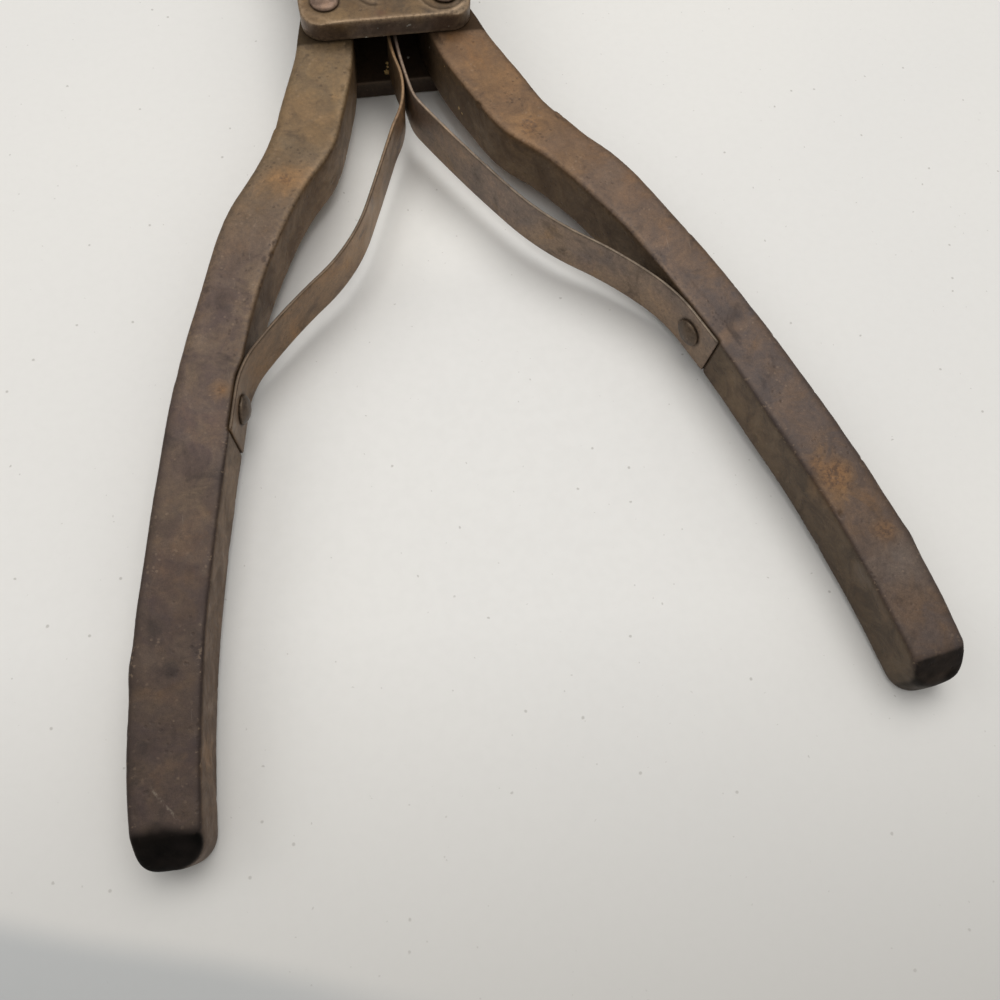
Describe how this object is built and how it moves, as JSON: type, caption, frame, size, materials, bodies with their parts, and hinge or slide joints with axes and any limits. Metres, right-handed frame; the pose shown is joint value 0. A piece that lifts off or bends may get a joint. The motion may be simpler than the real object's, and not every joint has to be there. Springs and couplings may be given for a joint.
{
  "type": "compound-action cutting nippers",
  "caption": "Heavy hand nippers: forged handles pivot between cheek plates and drive compound jaws with screwed-on cutters; leaf springs reopen the handles.",
  "frame": {"origin": "midway between the two handle pivots, on the rear cheek plate's outer face, the face the tool rests on", "axes": "+Y from the grips towards the jaws, +X towards the right-hand handle, +Z out of the front plate"},
  "size_m": [0.1507, 0.2376, 0.0232],
  "materials": {
    "plate": "brown worn",
    "forged": "brown worn, forging scale",
    "spring": "brown, rubbed bright in places",
    "pin": "dark worn",
    "cutter": "worn grey"
  },
  "bodies": {
    "head": {"front_plate": "plate", "rear_plate": "plate", "left_handle_rivet": "pin", "right_handle_rivet": "pin", "left_jaw_screw": "pin", "right_jaw_screw": "pin", "spacer": "pin", "spacer_rivet": "pin"},
    "left_handle": {"left_handle": "forged", "left_spring_rivet": "pin"},
    "right_handle": {"right_handle": "forged", "right_spring_rivet": "pin"},
    "left_spring": {"left_spring": "spring"},
    "right_spring": {"right_spring": "spring"},
    "left_jaw": {"left_jaw": "forged", "left_cutter": "cutter", "left_cutter_screws": "pin"},
    "right_jaw": {"right_jaw": "forged", "right_cutter": "cutter", "right_cutter_screws": "pin"}
  },
  "joints": [
    {"name": "left_handle_pivot", "type": "hinge", "parent": "head", "child": "left_handle", "pos_m": [-0.0135, 0, 0.01121], "axis": [0, 0, 1], "range_deg": [-8, 14], "stiffness_Nm_per_rad": 4},
    {"name": "right_handle_pivot", "type": "hinge", "parent": "head", "child": "right_handle", "pos_m": [0.0135, 0, 0.01121], "axis": [0, 0, -1], "range_deg": [-2, 20], "stiffness_Nm_per_rad": 4},
    {"name": "left_jaw_pivot", "type": "hinge", "parent": "head", "child": "left_jaw", "pos_m": [-0.012, 0.031, 0.01121], "axis": [0, 0, -1], "range_deg": [-5.4, 9.5]},
    {"name": "right_jaw_pivot", "type": "hinge", "parent": "head", "child": "right_jaw", "pos_m": [0.012, 0.031, 0.01121], "axis": [0, 0, 1], "range_deg": [-1.4, 13.5]},
    {"name": "left_leaf_flex", "type": "hinge", "parent": "left_handle", "child": "left_spring", "pos_m": [-0.0446, -0.0985, 0.01121], "axis": [0, 0, 1], "range_deg": [-2.4, 4.1], "deforming": ["left_spring"]},
    {"name": "right_leaf_flex", "type": "hinge", "parent": "right_handle", "child": "right_spring", "pos_m": [0.0546, -0.0945, 0.01121], "axis": [0, 0, -1], "range_deg": [-0.4, 3.65], "deforming": ["right_spring"]}
  ],
  "couplings": [
    {"joint": "left_jaw_pivot", "follows": "left_handle_pivot", "ratio": 0.67435},
    {"joint": "right_jaw_pivot", "follows": "right_handle_pivot", "ratio": 0.67435},
    {"joint": "left_leaf_flex", "follows": "left_handle_pivot", "ratio": 0.29},
    {"joint": "right_leaf_flex", "follows": "right_handle_pivot", "ratio": 0.18}
  ]
}
